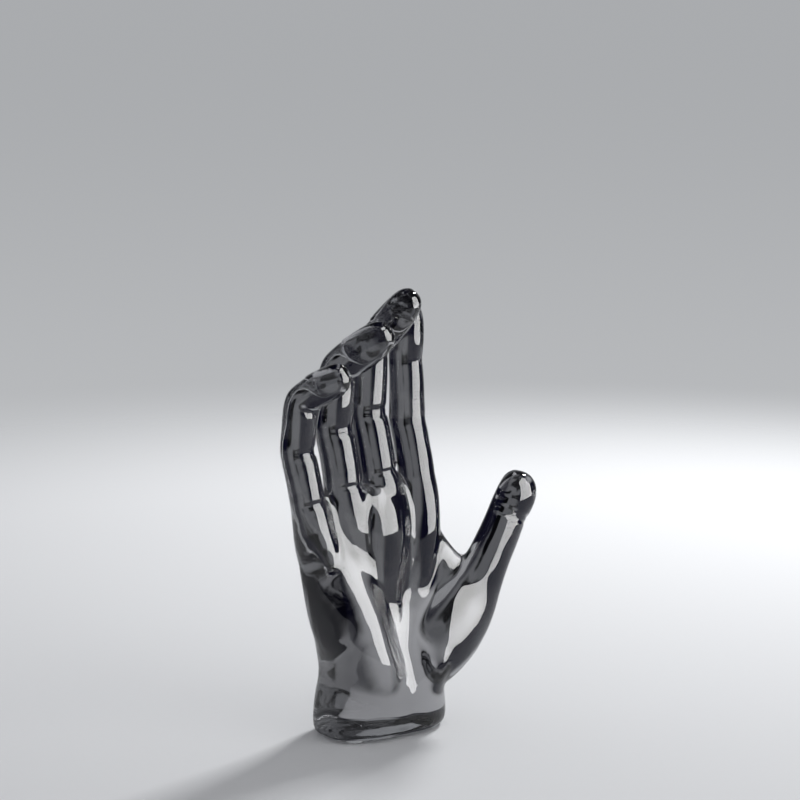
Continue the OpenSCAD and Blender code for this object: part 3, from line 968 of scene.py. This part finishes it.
class GLASSHAND_OT_casting(bpy.types.Operator):
    """Model the hand, fuse it into one skin and give it its glass"""

    bl_idname = "glass_hand.casting"
    bl_label = "Cast the hand"

    def execute(self, context):
        sizes, _ = settings()
        rays = [finger_joints(i) for i in range(4)]
        thumb = thumb_joints()
        pieces = [make_wrist(), make_palm()]
        for piece in pieces:
            shape_palm(piece)
        for joints, heading, width in zip(rays, CURL_HEADINGS, sizes.finger_widths):
            pieces.append(make_ray("finger", joints, heading, width, FINGER_SHARES))
        pieces.append(make_ray("thumb", thumb, THUMB_HEADING, sizes.thumb_width, THUMB_SHARES))
        pieces += [make_finger_web(i, rays) for i in range(3)]
        pieces.append(make_thumb_web(rays[0], thumb))
        hand = fuse(pieces, "glass_hand")
        detail_casting(hand, rays, thumb)
        seat_in_box(hand)
        grind_foot(hand)
        select_only([hand])
        bpy.ops.object.shade_smooth()
        hand.data.materials.clear()
        hand.data.materials.append(smoked_glass())
        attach(hand, "root")
        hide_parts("hand")
        return {"FINISHED"}


class GLASSHAND_OT_pads(bpy.types.Operator):
    """Give the four foot pads their clear soft plastic"""

    bl_idname = "glass_hand.pads"
    bl_label = "Finish the foot pads"

    def execute(self, context):
        material = clear_pad()
        for name in PADS:
            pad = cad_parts[name]
            pad.data.materials.clear()
            pad.data.materials.append(material)
        return {"FINISHED"}


def room_axes(look):
    """Directions on the floor as the camera sees them: straight back, and to the right."""
    sin, cos = math.sin(look.azimuth), math.cos(look.azimuth)
    return (-sin, cos, 0), (cos, sin, 0)


def stage_floor(look):
    """A pale round floor that fades into the backdrop, and in the glass into the dark studio."""
    start_clean()
    bpy.ops.mesh.primitive_circle_add(vertices=96, radius=look.floor_radius, fill_type="NGON")
    floor = bpy.context.object
    floor.name = "floor"
    material, paint = new_paint("pale_floor")
    place = paint.place()
    speck = paint.noise(place, scale=FLOOR_SPECK_SCALE, detail=4.0) * FLOOR_SPECK_SHARE
    matt = paint.add("ShaderNodeBsdfPrincipled", {}, {
        "Base Color": paint.mix(speck, rgba(look.floor_color), rgba(look.floor_color, FLOOR_SPECK_DARKER)),
        "Roughness": 0.9,
        "Specular IOR Level": 0.0,
    })
    even = paint.add("ShaderNodeEmission", {}, {"Color": rgba(look.floor_seen_in_glass), "Strength": 1.0})
    in_glass = paint.ray("Transmission")
    surface = paint.add("ShaderNodeMixShader", {}, in_glass, matt, even)

    reach = paint.add("ShaderNodeVectorMath", {"operation": "LENGTH"}, place, output=1)
    far = reach.smooth(*(look.floor_radius * share for share in FLOOR_FADE_SHARES))
    back, right = room_axes(look)
    behind = paint.towards(place, back)
    aside = paint.add("ShaderNodeMath", {"operation": "ABSOLUTE"}, paint.towards(place, right))
    far_aside = aside.smooth(*look.floor_aside_in_glass) * behind.smooth(*FLOOR_ASIDE_FROM)
    far_in_glass = (behind.smooth(*look.floor_in_glass) + far_aside).clamp()
    clear = paint.add("ShaderNodeBsdfTransparent", {})
    faded = paint.add("ShaderNodeMixShader", {}, far + in_glass * (far_in_glass - far), surface, clear)
    paint.out("ShaderNodeOutputMaterial", Surface=faded)
    floor.data.materials.append(material)


def stage_world(look):
    """A pale backdrop for the camera, and the studio round it that glass and polish show."""
    world = bpy.data.worlds.new("studio")
    bpy.context.scene.world = world
    world.use_nodes = True
    paint = Paint(world.node_tree)
    direction = paint.add("ShaderNodeTexCoord", {}, output=0)
    height = paint.add("ShaderNodeSeparateXYZ", {}, direction, output=2)
    back, right = room_axes(look)
    behind = paint.towards(direction, back).smooth(*BEHIND_FADE)
    sideways = paint.towards(direction, right)
    dark, high = rgba(look.room_dark), rgba(look.backdrop_high)
    backdrop = paint.mix(height.smooth(*BACKDROP_FADE), rgba(look.backdrop_low), high)

    folds = paint.noise(direction, **FOLD_NOISE).smooth(*FOLD_FADE)
    cloth = paint.mix(folds, *(rgba(look.card_color, share) for share in FOLD_SHARES))
    card = paint.mix(height.smooth(*CARD_DARK_TO), cloth, high)
    on_card = behind * sideways.smooth(*CARD_LEFT) * (1 - sideways.smooth(*CARD_RIGHT))
    on_card = on_card * (1 - height.smooth(*CARD_TOP))
    ceiling = paint.mix(height.smooth(*CEILING_FADE), dark, high)
    through_glass = paint.mix(on_card, ceiling, card)
    on_wall = behind * sideways.smooth(*WALL_LEFT) * (1 - sideways.smooth(*WALL_RIGHT))
    on_polish = paint.mix(on_wall * (1 - height.smooth(*WALL_TOP)), dark, high)

    seen = paint.mix(paint.ray("Transmission"), on_polish, through_glass)
    seen = paint.mix(paint.ray("Diffuse"), seen, rgba(look.room_light))
    seen = paint.mix(paint.ray("Camera"), seen, backdrop)
    background = paint.add("ShaderNodeBackground", {}, seen, 1.0)
    paint.out("ShaderNodeOutputWorld", Surface=background)


def add_lamp(name, place, aim, width, height, radiance, seen_by):
    """A soft lamp of a given brightness that only one kind of ray meets."""
    start_clean()
    bpy.ops.object.light_add(type="AREA", location=place)
    lamp = bpy.context.object
    lamp.name = name
    lamp.rotation_euler = (aim - place).to_track_quat("-Z", "Y").to_euler()
    lamp.data.shape = "RECTANGLE"
    lamp.data.size = width
    lamp.data.size_y = height
    lamp.data.energy = radiance * math.pi * width * height
    lamp.visible_camera = False
    for kind in ("diffuse", "glossy", "transmission"):
        setattr(lamp, "visible_" + kind, kind == seen_by)


def stage_lamps(look):
    """Sets the lamps round the hand: 0 degrees is towards the camera, and they run to its right."""
    for name, degrees, distance, rise, aim, width, height, radiance, seen_by in LAMPS:
        turn_to = math.radians(degrees) + look.azimuth
        place = Vector((math.sin(turn_to) * distance, -math.cos(turn_to) * distance, rise))
        add_lamp(name, place, Vector((0, 0, aim)), width, height, radiance, seen_by)


def stage_camera(look):
    """Sets the camera at the photograph's viewing angle."""
    back = Vector((math.sin(look.azimuth) * math.cos(look.elevation),
                   -math.cos(look.azimuth) * math.cos(look.elevation), math.sin(look.elevation)))
    place = CAMERA_PIVOT + back * look.distance
    start_clean()
    bpy.ops.object.camera_add(
        location=place, rotation=(CAMERA_AIM - place).to_track_quat("-Z", "Y").to_euler())
    camera = bpy.context.object
    camera.data.lens = look.lens
    camera.data.sensor_width = 36.0
    camera.data.clip_start = 0.05
    bpy.context.scene.camera = camera


class GLASSHAND_OT_stage(bpy.types.Operator):
    """Set the pale floor, the backdrop, the soft lamps and the camera"""

    bl_idname = "glass_hand.stage"
    bl_label = "Set the stage"

    def execute(self, context):
        look = context.scene.glass_hand_stage
        stage_floor(look)
        stage_world(look)
        stage_lamps(look)
        stage_camera(look)
        context.scene.view_settings.view_transform = "Standard"
        context.scene.cycles.max_bounces = GLASS_BOUNCES
        context.scene.cycles.transmission_bounces = GLASS_BOUNCES
        context.scene.cycles.glossy_bounces = POLISH_BOUNCES
        return {"FINISHED"}


class GLASSHAND_PT_panel(bpy.types.Panel):
    """Lists the steps in the 3D view's sidebar"""

    bl_label = "Glass Hand"
    bl_space_type = "VIEW_3D"
    bl_region_type = "UI"
    bl_category = "Glass Hand"

    def draw(self, context):
        scene = context.scene
        for group in (scene.glass_hand_sizes, scene.glass_hand_detail, scene.glass_hand_finish,
                      scene.glass_hand_stage):
            box = self.layout.box()
            for name in group.bl_rna.properties.keys():
                if name not in ("rna_type", "name"):
                    box.prop(group, name)
        for operator in OPERATORS:
            self.layout.operator(operator.bl_idname)


GROUPS = {
    "glass_hand_sizes": HandSizes,
    "glass_hand_detail": CastingDetail,
    "glass_hand_finish": GlassFinish,
    "glass_hand_stage": StageLook,
}
OPERATORS = [GLASSHAND_OT_casting, GLASSHAND_OT_pads, GLASSHAND_OT_stage]
CLASSES = [*GROUPS.values(), *OPERATORS, GLASSHAND_PT_panel]


def register():
    for cls in CLASSES:
        bpy.utils.register_class(cls)
    for name, group in GROUPS.items():
        setattr(bpy.types.Scene, name, PointerProperty(type=group))


def unregister():
    for name in GROUPS:
        delattr(bpy.types.Scene, name)
    for cls in reversed(CLASSES):
        bpy.utils.unregister_class(cls)


def main():
    register()
    bpy.ops.glass_hand.casting()
    bpy.ops.glass_hand.pads()
    bpy.ops.glass_hand.stage()


if __name__ == "__main__":
    main()
